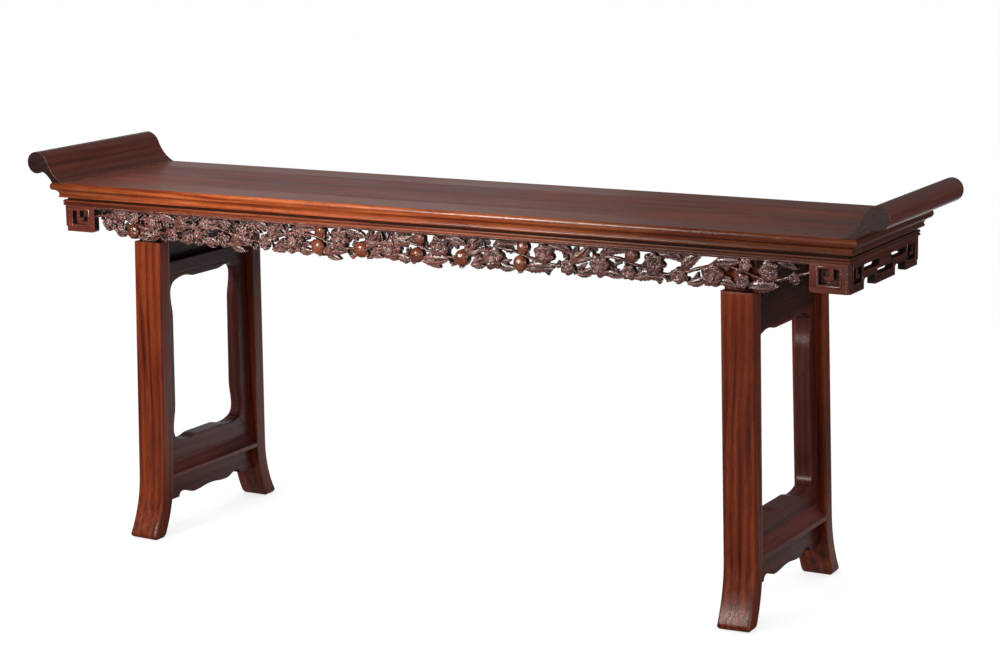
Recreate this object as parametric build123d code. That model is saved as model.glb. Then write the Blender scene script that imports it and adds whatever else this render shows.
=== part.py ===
from build123d import *
import os
from math import cos, hypot, pi, radians, sin, sqrt, tan

# Chinese altar table with rolled ends. Millimetres; X runs along the table, front is -Y, Z is up.
# The origin is on the floor, under the middle of the top.

# Top board: a floating panel in a mitred frame
top_length = 2064.0
top_width = 450.0
top_height = 850.0
frame_thick = 36.0
stile_width = 95.0
end_rail_width = 80.0
panel_thick = 18.0
panel_tongue_thick = 8.0
panel_tongue_drop = 8.0
panel_tongue_reach = 10.0
panel_line = 0.6
panel_play = 1.5

# Hidden tenon of a stile into an end rail, across the corner mitre
corner_tenon_inset = 30.0
corner_tenon_width = 34.0
corner_tenon_thick = 12.0
corner_tenon_rise = 6.0
corner_tenon_cover = 18.0

# Moulded edge of the top: a bullnose, a cove and a small lip
arris_inset = 4.0
nose_drop = 17.0
cove_inset = 16.0
cove_drop = 30.0
cove_hollow = 2.5
lip_proud = 1.5

# Dovetailed battens under the panel
batten_count = 5
batten_width = 40.0
batten_thick = 16.0
dovetail_height = 4.0
dovetail_waist = 26.0
dovetail_crown = 32.0
batten_tenon_width = 24.0
batten_tenon_thick = 10.0
batten_tenon_reach = 14.0

# Everted flange at each end: a leaning board that ends in a round roll
flange_foot = 32.0
flange_end_inset = 4.0
waist_out = 8.0
waist_up = 47.0
roll_radius = 26.0
roll_out = 41.0
roll_up = 46.0
roll_crest_angle = 108.0
roll_neck_angle = 230.0
neck_hollow = 3.0
flange_tongue_thick = 10.0
flange_tongue_depth = 8.0
flange_tongue_stop = 47.0

# Double-bead rail between the moulding and the aprons
bead_rail_height = 20.0
bead_proud = 2.5
shadow_height = 6.0
shadow_depth = 6.0
rail_tongue_thick = 6.0
rail_tongue_height = 5.0

# Apron boards, flush round all four sides
apron_setback = 24.0
apron_thick = 18.0
apron_corner_radius = 10.0
apron_tongue_thick = 6.0
apron_tongue_height = 4.0

# Carving of the two long aprons
carving_height = 72.0
carving_relief = 6.0
carving_top_band = 5.0
carving_end_rise = 26.0
carving_end_sweep = 120.0
sprig_aspect = 3.65
vine_width = 9.0

# Square-scroll brackets at the corners
bracket_width = 88.0
bracket_height = 62.0
bracket_corner_radius = 8.0
scroll_outer_band = 23.0
scroll_inner_band = 20.0
scroll_bottom_band = 17.0
scroll_top_band = 11.0
hook_width = 9.0
hook_inset = 12.0
hook_length = 23.0
hook_foot_width = 21.0
hook_foot_thick = 7.0

# End aprons: two scroll ends, two links and a centre
end_scroll_width = 79.0
end_notch_width = 65.0
end_notch_height = 22.0
end_notch_radius = 10.0
end_link_width = 89.0
end_link_height = 14.0
end_link_inset = 12.0
end_link_drop = 11.0
end_window_gap = 44.0
end_window_height = 12.0
end_window_drop = 32.0
end_corner_cut = 3.0

# Legs, kicked out at the foot
leg_width = 75.0
leg_thick = 38.0
leg_setback = 19.0
leg_end_inset = 235.0
side_splay = 1.19
front_splay = 0.75
kick_height = 150.0
kick_reach = 37.0
toe_height = 14.0
toe_round = 13.0
foot_corner_radius = 14.0
leg_edge_chamfer = 3.0
leg_shoulder_gap = 1.0
leg_tenon_width = 40.0
leg_tenon_height = 22.0
leg_tenon_shoulder = 2.0
foot_trim = 3.0

# Side frames: upper rail, moulded stretcher, lower apron
upper_rail_bottom = 632.0
upper_rail_top = 664.0
upper_rail_thick = 36.0
upper_panel_thick = 12.0
upper_panel_inset = 0.5
upper_tongue_thick = 6.0
upper_tongue_height = 5.0
upper_tongue_stop = 4.0
stretcher_bottom = 138.0
stretcher_top = 176.0
stretcher_lip = 10.0
stretcher_hollow = 3.0
lower_apron_bottom = 79.0
lower_apron_thick = 36.0
lower_apron_foot = 50.0
lower_apron_notch = 12.0
lower_apron_wave = 5.0
lower_tongue_thick = 10.0
lower_tongue_height = 5.0
lower_tongue_stop = 4.0
frame_tenon_thick = 14.0
frame_tenon_reach = 24.0
frame_tenon_shoulder = 7.0

# Lining round the side opening
lining_thick = 36.0
lining_side_width = 38.0
opening_bottom = 217.0
opening_top = 624.0
opening_crown = 6.0
opening_crown_in = 90.0
opening_lobe_in = 48.0
opening_cusp_in = 5.0
opening_cusp_drop = 9.0
opening_shoulder_out = 8.0
opening_shoulder_drop = 34.0
opening_waist_drop = 100.0
lining_mitre_overrun = 17.0
lining_tongue_thick = 6.0
lining_tongue_reach = 5.0
lining_tongue_stop = 60.0

# Clearance round hidden tongues and tenons
joint_play = 0.2

half_length = top_length / 2
half_width = top_width / 2
underside = top_height - frame_thick
well_half_length = half_length - end_rail_width
well_half_width = half_width - stile_width
panel_bottom = top_height - panel_thick
panel_tongue_bottom = top_height - panel_tongue_drop - panel_tongue_thick
mitre = min(stile_width, end_rail_width)
apron_back_inset = apron_setback + apron_thick
apron_face_x = half_length - apron_setback
apron_face_y = half_width - apron_setback
apron_back_x = half_length - apron_back_inset
apron_back_y = half_width - apron_back_inset
apron_middle_inset = apron_setback + apron_thick / 2
apron_top = underside - bead_rail_height
carving_bottom = apron_top - carving_height
bracket_bottom = apron_top - bracket_height
carving_half_length = apron_face_x - bracket_width
leg_centre_x = half_length - leg_end_inset - leg_width / 2
leg_face_top = half_width - leg_setback
front_slope = tan(radians(front_splay))
blank_top = underside + foot_trim
long_reach = 2 * half_width


def polygon(points):
    return Polygon(*points, align=None)


def rectangle(a_range, b_range):
    """Face from the low to the high end of each range."""
    (a0, a1), (b0, b1) = a_range, b_range
    return polygon([(a0, b0), (a1, b0), (a1, b1), (a0, b1)])


def face_of(*lines):
    return make_face([edge for line in lines for edge in line.edges()])


def wave(start, end, upright=False):
    """Two equal arcs that leave the start and reach the end level, or upright."""
    middle = ((start[0] + end[0]) / 2, (start[1] + end[1]) / 2)
    heading = (0, end[1] - start[1]) if upright else (end[0] - start[0], 0)
    first = TangentArc(start, middle, tangent=heading)
    return first + TangentArc(middle, end, tangent=first % 1)


def along_x(face, x_range):
    """Extrudes a face drawn in (y, z)."""
    return extrude(Plane.YZ.offset(x_range[0]) * face, x_range[1] - x_range[0], dir=(1, 0, 0))


def along_y(face, y_range):
    """Extrudes a face drawn in (x, z)."""
    return extrude(Plane.XZ.offset(-y_range[0]) * face, y_range[1] - y_range[0], dir=(0, 1, 0))


def along_z(face, z_range):
    """Extrudes a face drawn in (x, y)."""
    return extrude(Plane.XY.offset(z_range[0]) * face, z_range[1] - z_range[0], dir=(0, 0, 1))


def block(x_range, y_range, z_range):
    return along_z(rectangle(x_range, y_range), z_range)


def centred(width, play=0.0, middle=0.0):
    """Range of a given width about its middle, grown by the play at each end."""
    return (middle - width / 2 - play, middle + width / 2 + play)


def front_and_back(piece):
    return piece + mirror(piece, about=Plane.XZ)


def left_and_right(piece):
    return piece + mirror(piece, about=Plane.YZ)


def ring(inset, thickness):
    """Plan of a band round the whole table, centred on a line at this inset from the nose."""
    outer = inset - thickness / 2
    inner = inset + thickness / 2
    band = Rectangle(2 * (half_length - outer), 2 * (half_width - outer))
    return band - Rectangle(2 * (half_length - inner), 2 * (half_width - inner))


def front_wedge():
    """Plan of everything in front of the corner mitres."""
    reach = half_length - half_width
    return polygon([(-half_length, -half_width), (half_length, -half_width), (reach, 0), (-reach, 0)])


def right_wedge():
    """Plan of everything to the right of the corner mitres."""
    return polygon([(half_length, -half_width), (half_length, half_width), (half_length - half_width, 0)])


# Top board


def edge_section(width):
    """Section of a frame member, as (inset from the nose, height above the floor)."""
    lip_inset = cove_inset - lip_proud
    cove_middle = ((arris_inset + cove_inset) / 2 + cove_hollow, -(nose_drop + cove_drop) / 2 + cove_hollow)
    lip_middle = (lip_inset, -(cove_drop + frame_thick) / 2)
    nose = ThreePointArc((arris_inset, 0), (0, -nose_drop / 2), (arris_inset, -nose_drop))
    cove = ThreePointArc((arris_inset, -nose_drop), cove_middle, (cove_inset, -cove_drop))
    lip = ThreePointArc((cove_inset, -cove_drop), lip_middle, (cove_inset, -frame_thick))
    back = Polyline((cove_inset, -frame_thick), (width, -frame_thick), (width, 0), (arris_inset, 0))
    return Pos(0, top_height) * face_of(nose, cove, lip, back)


def stile_plan():
    corner = [(half_length, -half_width), (half_length - mitre, -half_width + mitre)]
    corner += [(well_half_length, -well_half_width)]
    return polygon(corner + [(-x, y) for x, y in reversed(corner)])


def end_rail_plan():
    corner = [(well_half_length, well_half_width), (half_length - mitre, half_width - mitre)]
    corner += [(half_length, half_width)]
    return polygon(corner + [(x, -y) for x, y in reversed(corner)])


def panel_tongue(play_ends=0.0, play_cheeks=0.0):
    reach = panel_tongue_reach + play_ends
    outline = Rectangle(2 * (well_half_length + reach), 2 * (well_half_width + reach))
    top = panel_tongue_bottom + panel_tongue_thick
    return along_z(outline, (panel_tongue_bottom - play_cheeks, top + play_cheeks))


def bead_tongue(play=0.0):
    """Tongue of the bead rails, up into the frame all round."""
    band = ring(apron_middle_inset, rail_tongue_thick + 2 * play)
    return along_z(band, (underside, underside + rail_tongue_height + play))


def corner_tenon(play=0.0):
    """Tenon of the front stile into the right end rail."""
    x_range = (half_length - mitre, half_length - corner_tenon_cover + play)
    near = -half_width + corner_tenon_inset
    low = underside + corner_tenon_rise
    y_range = (near - play, near + corner_tenon_width + play)
    return block(x_range, y_range, (low - play, low + corner_tenon_thick + play))


def leg_tenon(side, play=0.0):
    """Tenon of a front leg, up into the front stile."""
    x_range = centred(leg_tenon_width, play, side * leg_centre_x)
    y_range = (-apron_back_y + leg_tenon_shoulder - play, -bay(underside) - leg_tenon_shoulder + play)
    return block(x_range, y_range, (underside, underside + leg_tenon_height + play))


def batten_places():
    pitch = 2 * well_half_length / (batten_count + 1)
    return [Pos(pitch * (index - (batten_count - 1) / 2), 0, 0) for index in range(batten_count)]


def dovetail(play=0.0):
    low = panel_bottom
    high = panel_bottom + dovetail_height + play
    waist = dovetail_waist / 2 + play
    crown = dovetail_crown / 2 + play
    outline = polygon([(-waist, low), (waist, low), (crown, high), (-crown, high)])
    return along_y(outline, (-well_half_width, well_half_width))


def batten_tenons(play=0.0):
    reach = well_half_width + batten_tenon_reach + play
    middle = panel_bottom - batten_thick / 2
    x_range = centred(batten_tenon_width, play)
    return block(x_range, (-reach, reach), centred(batten_tenon_thick, play, middle))


def make_front_stile():
    bar = along_x(Pos(-half_width, 0) * edge_section(stile_width), (-half_length, half_length))
    stile = bar & along_z(stile_plan(), (underside, top_height))
    stile += left_and_right(corner_tenon())
    stile -= panel_tongue(panel_play, joint_play)
    stile -= bead_tongue(joint_play)
    stile -= [place * batten_tenons(joint_play) for place in batten_places()]
    return stile - [leg_tenon(side, joint_play) for side in (-1, 1)]


def make_right_end_rail():
    section = Pos(half_length, 0) * mirror(edge_section(end_rail_width), about=Plane.YZ)
    bar = along_y(section, (-half_width, half_width))
    rail = bar & along_z(end_rail_plan(), (underside, top_height))
    rail -= front_and_back(corner_tenon(joint_play))
    rail -= panel_tongue(panel_play, joint_play)
    rail -= bead_tongue(joint_play)
    return rail - flange_tongue(joint_play)


def make_panel():
    surface = Rectangle(2 * (well_half_length - panel_line), 2 * (well_half_width - panel_line))
    board = along_z(surface, (panel_bottom, top_height)) + panel_tongue()
    return board - [place * dovetail(joint_play) for place in batten_places()]


def make_batten():
    y_range = (-well_half_width, well_half_width)
    bar = block(centred(batten_width), y_range, (panel_bottom - batten_thick, panel_bottom))
    return bar + dovetail() + batten_tenons()


# Everted flange


def roll_point(angle):
    """Point of the roll, measured from the nose of the top and its upper face."""
    return (roll_out + roll_radius * cos(radians(angle)), roll_up + roll_radius * sin(radians(angle)))


def flange_tongue(play=0.0):
    middle = half_length - arris_inset - flange_foot / 2
    reach = half_width - flange_tongue_stop + play
    z_range = (top_height - flange_tongue_depth - play, top_height)
    return block(centred(flange_tongue_thick, play, middle), (-reach, reach), z_range)


def flange_section():
    heel = (-arris_inset - flange_foot, 0)
    toe = (-arris_inset, 0)
    crest = roll_point(roll_crest_angle)
    neck = roll_point(roll_neck_angle)
    outermost = roll_point((roll_crest_angle + roll_neck_angle) / 2 - 180)
    off_the_roll = (-sin(radians(roll_crest_angle)), cos(radians(roll_crest_angle)))
    shoulder = TangentArc(crest, (waist_out, waist_up), tangent=off_the_roll)
    hollow = TangentArc((waist_out, waist_up), heel, tangent=shoulder % 1)
    neck_length = hypot(neck[0] - toe[0], neck[1] - toe[1])
    inward = ((toe[1] - neck[1]) / neck_length, (neck[0] - toe[0]) / neck_length)
    neck_middle = [(neck[axis] + toe[axis]) / 2 + neck_hollow * inward[axis] for axis in (0, 1)]
    roll = ThreePointArc(crest, outermost, neck)
    under = ThreePointArc(neck, tuple(neck_middle), toe)
    return face_of(shoulder, hollow, Line(toe, heel), under, roll)


def make_right_flange():
    reach = half_width - flange_end_inset
    board = along_y(Pos(half_length, top_height) * flange_section(), (-reach, reach))
    return board + flange_tongue()


# Bead rails


def bead_section():
    """Section of a bead rail, as (inset from the nose, height above the floor)."""
    face = apron_setback
    back = apron_back_inset
    shelf = underside - shadow_height
    middle = (apron_top + shelf) / 2
    upper = ThreePointArc((face, shelf), (face - bead_proud, (shelf + middle) / 2), (face, middle))
    lower = ThreePointArc((face, middle), (face - bead_proud, (middle + apron_top) / 2), (face, apron_top))
    under = Polyline((face, apron_top), (back, apron_top), (back, underside))
    groove = face + shadow_depth
    shadow = Polyline((back, underside), (groove, underside), (groove, shelf), (face, shelf))
    return face_of(upper, lower, under, shadow)


def apron_tongue(play=0.0):
    """Tongue of the apron boards, up into the bead rails all round."""
    band = ring(apron_middle_inset, apron_tongue_thick + 2 * play)
    return along_z(band, (apron_top, apron_top + apron_tongue_height + play))


def make_bead_rail(section_bar, wedge):
    rail = section_bar + bead_tongue() - apron_tongue(joint_play)
    return rail & along_z(wedge, (apron_top, underside + rail_tongue_height))


def make_front_bead_rail():
    bar = along_x(Pos(-half_width, 0) * bead_section(), (-half_length, half_length))
    return make_bead_rail(bar, front_wedge())


def make_right_bead_rail():
    section = Pos(half_length, 0) * mirror(bead_section(), about=Plane.YZ)
    return make_bead_rail(along_y(section, (-half_width, half_width)), right_wedge())


# Brackets and end aprons


def apron_plan(wedge):
    """Plan of the apron boards on one side, with rounded outer corners."""
    outer = RectangleRounded(2 * apron_face_x, 2 * apron_face_y, apron_corner_radius)
    return (outer - Rectangle(2 * apron_back_x, 2 * apron_back_y)) & wedge


def scroll_field(edge):
    """Opening of a square scroll whose outer side is at this edge, with the hook left standing."""
    outer = edge - scroll_outer_band
    inner = edge - bracket_width + scroll_inner_band
    low = bracket_bottom + scroll_bottom_band
    high = apron_top - scroll_top_band
    hook_side = outer - hook_inset
    hook = rectangle((hook_side - hook_width, hook_side), (high - hook_length, high))
    foot_range = (high - hook_length, high - hook_length + hook_foot_thick)
    foot = rectangle((hook_side - hook_foot_width, hook_side), foot_range)
    return rectangle((inner, outer), (low, high)) - hook - foot


def make_front_right_bracket():
    board = rectangle((carving_half_length, half_length), (bracket_bottom, apron_top))
    inner_corner = board.vertices().sort_by(Axis.X)[:2].sort_by(Axis.Y)[0]
    board = fillet(inner_corner, bracket_corner_radius) - scroll_field(apron_face_x)
    bracket = along_y(board, (-half_width, -apron_back_y))
    bracket &= along_z(apron_plan(front_wedge()), (bracket_bottom, apron_top))
    over_bracket = block((carving_half_length, half_length), (-half_width, 0), (apron_top, top_height))
    return bracket + (apron_tongue() & over_bracket & along_z(front_wedge(), (apron_top, top_height)))


def eased_rectangle(width, height):
    """Opening with its corners cut across."""
    return chamfer(Rectangle(width, height).vertices(), end_corner_cut)


def end_apron_elevation():
    """Right end apron, drawn in (y, z)."""
    board = rectangle((-half_width, half_width), (bracket_bottom, apron_top))
    notch_centre = apron_face_y - end_scroll_width - end_notch_width / 2
    notch = RectangleRounded(end_notch_width, 2 * end_notch_height, end_notch_radius)
    notch = Pos(notch_centre, bracket_bottom) * notch
    link_centre = notch_centre - end_link_inset
    link_height = apron_top - end_link_drop - end_link_height / 2
    link = Pos(link_centre, link_height) * eased_rectangle(end_link_width, end_link_height)
    side = notch + link + scroll_field(apron_face_y)
    window_height = apron_top - end_window_drop - end_window_height / 2
    window_width = 2 * (notch_centre - end_window_gap)
    window = Pos(0, window_height) * eased_rectangle(window_width, end_window_height)
    return board - left_and_right(side) - window


def make_right_end_apron():
    board = along_x(end_apron_elevation(), (apron_back_x, half_length))
    board &= along_z(apron_plan(right_wedge()), (bracket_bottom, apron_top))
    return board + (apron_tongue() & along_z(right_wedge(), (apron_top, top_height)))


# Carved aprons


def sprig_count():
    return round(2 * carving_half_length / (sprig_aspect * carving_height))


def sprig_place(index, across, up):
    """Place on the board, from a share of one sprig's length and of the carving's height."""
    pitch = 2 * carving_half_length / sprig_count()
    return (-carving_half_length + (index + across) * pitch, carving_bottom + up * carving_height)


def leaf(index, across, up, length, angle):
    """Pointed leaf, widest near its foot; its length is a share of the carving's height."""
    reach = length * carving_height
    outline = [(-0.5, 0), (-0.08, 0.2), (0.5, 0), (-0.08, -0.2)]
    drawn = polygon([(x * reach, z * reach) for x, z in outline])
    return Pos(*sprig_place(index, across, up)) * Rot(0, 0, angle) * drawn


def blossom(index, across, up, radius, angle):
    """Five broad petals with a notch between neighbours."""
    corners = []
    for petal in range(5):
        for turn, share in ((-20, 1.0), (20, 1.0), (36, 0.72)):
            bearing = radians(72 * petal + turn + angle)
            reach = radius * share * carving_height
            corners.append((reach * cos(bearing), reach * sin(bearing)))
    return Pos(*sprig_place(index, across, up)) * polygon(corners)


def fruit(index, across, up, radius):
    return Pos(*sprig_place(index, across, up)) * RegularPolygon(radius * carving_height, 6)


def vine():
    """Branch that swings up and down once in each sprig, the whole length of the board."""
    steps = 4
    shares = [(step // steps, step % steps / steps) for step in range(steps * sprig_count())]
    shares.append((sprig_count() - 1, 1.0))
    line = [sprig_place(index, share, 0.49 + 0.19 * sin(2 * pi * share)) for index, share in shares]
    upper = [(x, z + vine_width / 2) for x, z in line]
    lower = [(x, z - vine_width / 2) for x, z in reversed(line)]
    return polygon(upper + lower)


def sprig_leaves(index):
    return [
        leaf(index, 0.04, 0.22, 0.66, 24), leaf(index, 0.30, 0.16, 0.64, -10),
        leaf(index, 0.61, 0.175, 0.95, 5), leaf(index, 0.29, 0.80, 0.86, 8),
        leaf(index, 0.81, 0.80, 0.80, -16), leaf(index, 0.985, 0.70, 0.86, 40),
    ]


def sprig_fruits(index):
    return [fruit(index, 0.43, 0.27, 0.27), fruit(index, 0.455, 0.77, 0.23), fruit(index, 0.87, 0.29, 0.28)]


def sprig_blossoms(index):
    return [blossom(index, 0.17, 0.385, 0.395, 12), blossom(index, 0.655, 0.615, 0.38, 40)]


def carving_outline():
    """The board's outline: its lower edge sweeps up to each bracket."""
    end = carving_half_length
    sweep = end - carving_end_sweep
    raised = carving_bottom + carving_end_rise
    right = wave((sweep, carving_bottom), (end, raised))
    left = wave((-sweep, carving_bottom), (-end, raised))
    bottom = Line((-sweep, carving_bottom), (sweep, carving_bottom))
    top = Polyline((end, raised), (end, apron_top), (-end, apron_top), (-end, raised))
    return face_of(left, bottom, right, top)


def make_carved_apron():
    """Pierced board: a vine with leaves and fruit, and blossoms that stand proud of it."""
    x_range = (-carving_half_length, carving_half_length)
    band = rectangle(x_range, (apron_top - carving_top_band, apron_top))
    sprigs = range(sprig_count())
    greenery = [piece for index in sprigs for piece in sprig_leaves(index) + sprig_fruits(index)]
    blossoms = [piece for index in sprigs for piece in sprig_blossoms(index)]
    outline = carving_outline()
    pierced = (band + [vine()] + greenery + blossoms) & outline
    proud = (Sketch() + blossoms) & outline
    board = along_y(pierced, (-apron_face_y, -apron_back_y))
    board += along_y(proud, (-apron_face_y - carving_relief, -apron_face_y))
    over_board = block(x_range, (-half_width, 0), (apron_top, top_height))
    return board + (apron_tongue() & over_board)


# Legs


def leg_face(height):
    """Distance from the table's middle to the straight outer face of a leg."""
    return leg_face_top + front_slope * (underside - height)


def bay(height):
    """Half the clear distance between a front and a back leg."""
    return leg_face(height) - leg_thick


def kick_point(offset, height):
    """Point of the kick, at an offset inward from its outer curve."""
    drop = kick_height - toe_height
    centre_reach = (drop**2 + kick_reach**2) / (2 * kick_reach)
    centre = leg_face(kick_height) + centre_reach
    return (-centre + sqrt((centre_reach + offset) ** 2 - (kick_height - height) ** 2), height)


def leg_profile():
    """Front leg seen from the right, drawn in (y, z)."""
    top_front = (-leg_face(blank_top), blank_top)
    top_back = (-bay(blank_top), blank_top)
    kick_front = (-leg_face(kick_height), kick_height)
    kick_back = (-bay(kick_height), kick_height)
    toe_top = kick_point(0, toe_height)
    sole_front = (toe_top[0] + toe_round, 0)
    heel = kick_point(leg_thick, 0)
    kick = ThreePointArc(kick_front, kick_point(0, kick_height / 2), toe_top)
    toe_middle = (toe_top[0] + 0.22 * toe_round, 0.25 * toe_height)
    toe = ThreePointArc(toe_top, toe_middle, sole_front)
    sole = Polyline(sole_front, (sole_front[0], -foot_trim), (heel[0], -foot_trim), heel)
    instep = ThreePointArc(heel, kick_point(leg_thick, kick_height / 2), kick_back)
    shaft = Polyline(kick_back, top_back, top_front, kick_front)
    return face_of(shaft, kick, toe, sole, instep)


def leg_blank():
    """Upright front leg, centred on x = 0, with eased front edges and rounded foot corners."""
    bar = along_x(leg_profile(), centred(leg_width))
    sides = bar.faces().sort_by(Axis.X)
    eased = [edge for side in (sides[0], sides[-1]) for edge in side.edges() if is_front_edge(edge)]
    bar = chamfer(eased, leg_edge_chamfer)
    front = rectangle(centred(leg_width), (-foot_trim, blank_top))
    front = fillet(front.vertices().group_by(Axis.Y)[0], foot_corner_radius)
    return bar & along_y(front, (-long_reach, 0))


def is_front_edge(edge):
    """True for the outer edges of the leg profile, from above the toe to the top."""
    middle = edge.position_at(0.5)
    on_face = -leg_face(middle.Z) + leg_edge_chamfer > middle.Y
    return on_face and toe_height < middle.Z < blank_top - 1


def splay(piece):
    """Leans a right side frame out from its pivot under the top."""
    return Pos(leg_centre_x, 0, underside) * Rot(0, -side_splay, 0) * Pos(0, 0, -underside) * piece


def make_front_right_leg():
    mortises = [upper_rail_tenons(joint_play), stretcher_tenons(joint_play), lining_tongue(joint_play)]
    leg = splay(leg_blank() - mortises)
    leg &= block((0, half_length), (-long_reach, 0), (0, underside))
    lap_bottom = carving_bottom - leg_shoulder_gap
    leg -= block((0, half_length), (-long_reach, -apron_back_y), (lap_bottom, underside))
    return leg + leg_tenon(1)


# Side frames


def between_legs(low, high, gap=0.0):
    """Face in (y, z) that fills the straight part of the bay."""
    corners = [(bay(low) - gap, low), (bay(high) - gap, high)]
    return polygon(corners + [(-y, z) for y, z in reversed(corners)])


def frame_tenons(low, high, play):
    reach = bay(low) + frame_tenon_reach + play
    z_range = (low + frame_tenon_shoulder - play, high - frame_tenon_shoulder + play)
    return block(centred(frame_tenon_thick, play), (-reach, reach), z_range)


def upper_rail_tenons(play=0.0):
    return frame_tenons(upper_rail_bottom, upper_rail_top, play)


def stretcher_tenons(play=0.0):
    return frame_tenons(stretcher_bottom, stretcher_top, play)


def make_upper_rail():
    bar = along_x(between_legs(upper_rail_bottom, upper_rail_top), centred(upper_rail_thick))
    return bar + upper_rail_tenons() - upper_panel_tongue(joint_play)


def upper_panel_tongue(play=0.0):
    """Tongue of the upper panel, down into the upper rail."""
    face = between_legs(upper_rail_top - upper_tongue_height - play, upper_rail_top, upper_tongue_stop - play)
    middle = (upper_rail_thick - upper_panel_thick) / 2 - upper_panel_inset
    return along_x(face, centred(upper_tongue_thick, play, middle))


def make_right_upper_panel():
    """Thin board that closes the frame between the upper rail and the top, near its outer face."""
    outer = upper_rail_thick / 2 - upper_panel_inset
    face = between_legs(upper_rail_top, blank_top)
    panel = splay(along_x(face, (outer - upper_panel_thick, outer)) + upper_panel_tongue())
    return panel & block((0, half_length), (-half_width, half_width), (0, underside))


def stretcher_section():
    """Flat lip below, then a hollow slope up to the lining, drawn in (x, z)."""
    lip = stretcher_bottom + stretcher_lip
    foot = leg_width / 2
    crown = lining_thick / 2
    hollow = ((foot + crown) / 2 - stretcher_hollow, (lip + stretcher_top) / 2 - stretcher_hollow)
    right = ThreePointArc((foot, lip), hollow, (crown, stretcher_top))
    left = ThreePointArc((-foot, lip), (-hollow[0], hollow[1]), (-crown, stretcher_top))
    base = Polyline((-foot, lip), (-foot, stretcher_bottom), (foot, stretcher_bottom), (foot, lip))
    return face_of(right, Line((crown, stretcher_top), (-crown, stretcher_top)), left, base)


def make_stretcher():
    reach = bay(0) + leg_thick / 2
    bar = along_y(stretcher_section(), (-reach, reach)) - front_and_back(leg_blank())
    return bar + stretcher_tenons() - lower_tongue(joint_play)


def lower_tongue(play=0.0):
    """Tongue of the lower apron, up into the stretcher."""
    top = stretcher_bottom + lower_tongue_height + play
    face = between_legs(stretcher_bottom, top, lower_tongue_stop - play)
    return along_x(face, centred(lower_tongue_thick, play))


def make_lower_apron():
    """Board under the stretcher: a foot at each leg, a notch, then one long shallow wave."""
    low = lower_apron_bottom
    foot = bay(low) - lower_apron_foot
    reach = bay(0) + leg_thick / 2
    edges = [Line((-reach, stretcher_bottom), (reach, stretcher_bottom))]
    for side in (-1, 1):
        toe = (side * foot, low)
        notch = (side * (foot - lower_apron_notch), low + lower_apron_notch)
        lobe = (side * foot / 2, low)
        edges.append(Polyline((side * reach, stretcher_bottom), (side * reach, low), toe))
        edges += [TangentArc(toe, notch, tangent=(0, 1)), wave(notch, lobe)]
        edges.append(wave(lobe, (0, low + lower_apron_wave)))
    board = along_x(face_of(*edges), centred(lower_apron_thick)) - front_and_back(leg_blank())
    return board + lower_tongue()


def opening_reach():
    """Half the width of the opening between its two sides."""
    return bay((opening_bottom + opening_top) / 2) - lining_side_width


def opening_corner(side, level, up):
    """One corner of the opening: a lobe, a cusp and a round shoulder, from the middle outwards."""
    edge = side * opening_reach()
    middle = (0, level - up * opening_crown)
    crown = (edge - side * opening_crown_in, middle[1])
    lobe = (edge - side * opening_lobe_in, level)
    cusp = (edge - side * opening_cusp_in, level - up * opening_cusp_drop)
    shoulder = (edge + side * opening_shoulder_out, level - up * opening_shoulder_drop)
    waist = (edge, level - up * opening_waist_drop)
    inner = [Line(middle, crown), wave(crown, lobe), TangentArc(lobe, cusp, tangent=(side, 0))]
    return inner + [TangentArc(shoulder, cusp, tangent=(0, up)), wave(waist, shoulder, upright=True)]


def lining_opening():
    edges = []
    for side in (-1, 1):
        edges += opening_corner(side, opening_top, 1)
        edges += opening_corner(side, opening_bottom, -1)
        reach = side * opening_reach()
        low = opening_bottom + opening_waist_drop
        edges.append(Line((reach, low), (reach, opening_top - opening_waist_drop)))
    return face_of(*edges)


def lining_share(place):
    """Face in (y, z) of one member, with 45-degree mitres from the outer corners."""
    low = stretcher_top
    high = upper_rail_bottom
    depth = lining_side_width + lining_mitre_overrun
    low_corner = [(bay(low), low), (bay(low) - depth, low + depth)]
    high_corner = [(bay(high) - depth, high - depth), (bay(high), high)]
    if place == "front":
        return polygon([(-y, z) for y, z in low_corner + high_corner])
    if place == "back":
        return polygon(low_corner + high_corner)
    corner = high_corner if place == "top" else low_corner
    return polygon(corner + [(-y, z) for y, z in reversed(corner)])


def lining_tongue(play=0.0):
    """Tongue of the front lining member, into the front leg."""
    low = stretcher_top + lining_tongue_stop - play
    high = upper_rail_bottom - lining_tongue_stop + play
    reach = lining_tongue_reach + play
    outline = [(-bay(low), low), (-bay(high), high), (-bay(high) - reach, high), (-bay(low) - reach, low)]
    return along_x(polygon(outline), centred(lining_tongue_thick, play))


def make_lining(place):
    board = between_legs(stretcher_top, upper_rail_bottom) - lining_opening()
    member = along_x(board & lining_share(place), centred(lining_thick))
    if place == "front":
        member += lining_tongue()
    if place == "back":
        member += mirror(lining_tongue(), about=Plane.XZ)
    return member


# The whole table


def front_pieces():
    """Pieces in front of the middle; each has a twin at the back."""
    return {
        "top_{}_stile": make_front_stile(),
        "{}_bead_rail": make_front_bead_rail(),
        "{}_carved_apron": make_carved_apron(),
    }


def front_corner_pieces():
    """Pieces at the front right; each has twins at the other three corners."""
    return {"{}_leg": make_front_right_leg(), "{}_bracket": make_front_right_bracket()}


def right_pieces():
    """Pieces at the right; each has a twin at the left."""
    pieces = {
        "top_{}_end_rail": make_right_end_rail(),
        "{}_flange": make_right_flange(),
        "{}_bead_rail": make_right_bead_rail(),
        "{}_end_apron": make_right_end_apron(),
        "{}_upper_rail": splay(make_upper_rail()),
        "{}_upper_panel": make_right_upper_panel(),
        "{}_stretcher": splay(make_stretcher()),
        "{}_lower_apron": splay(make_lower_apron()),
    }
    for place in ("top", "bottom", "front", "back"):
        pieces["{}_lining_" + place] = splay(make_lining(place))
    return pieces


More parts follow.
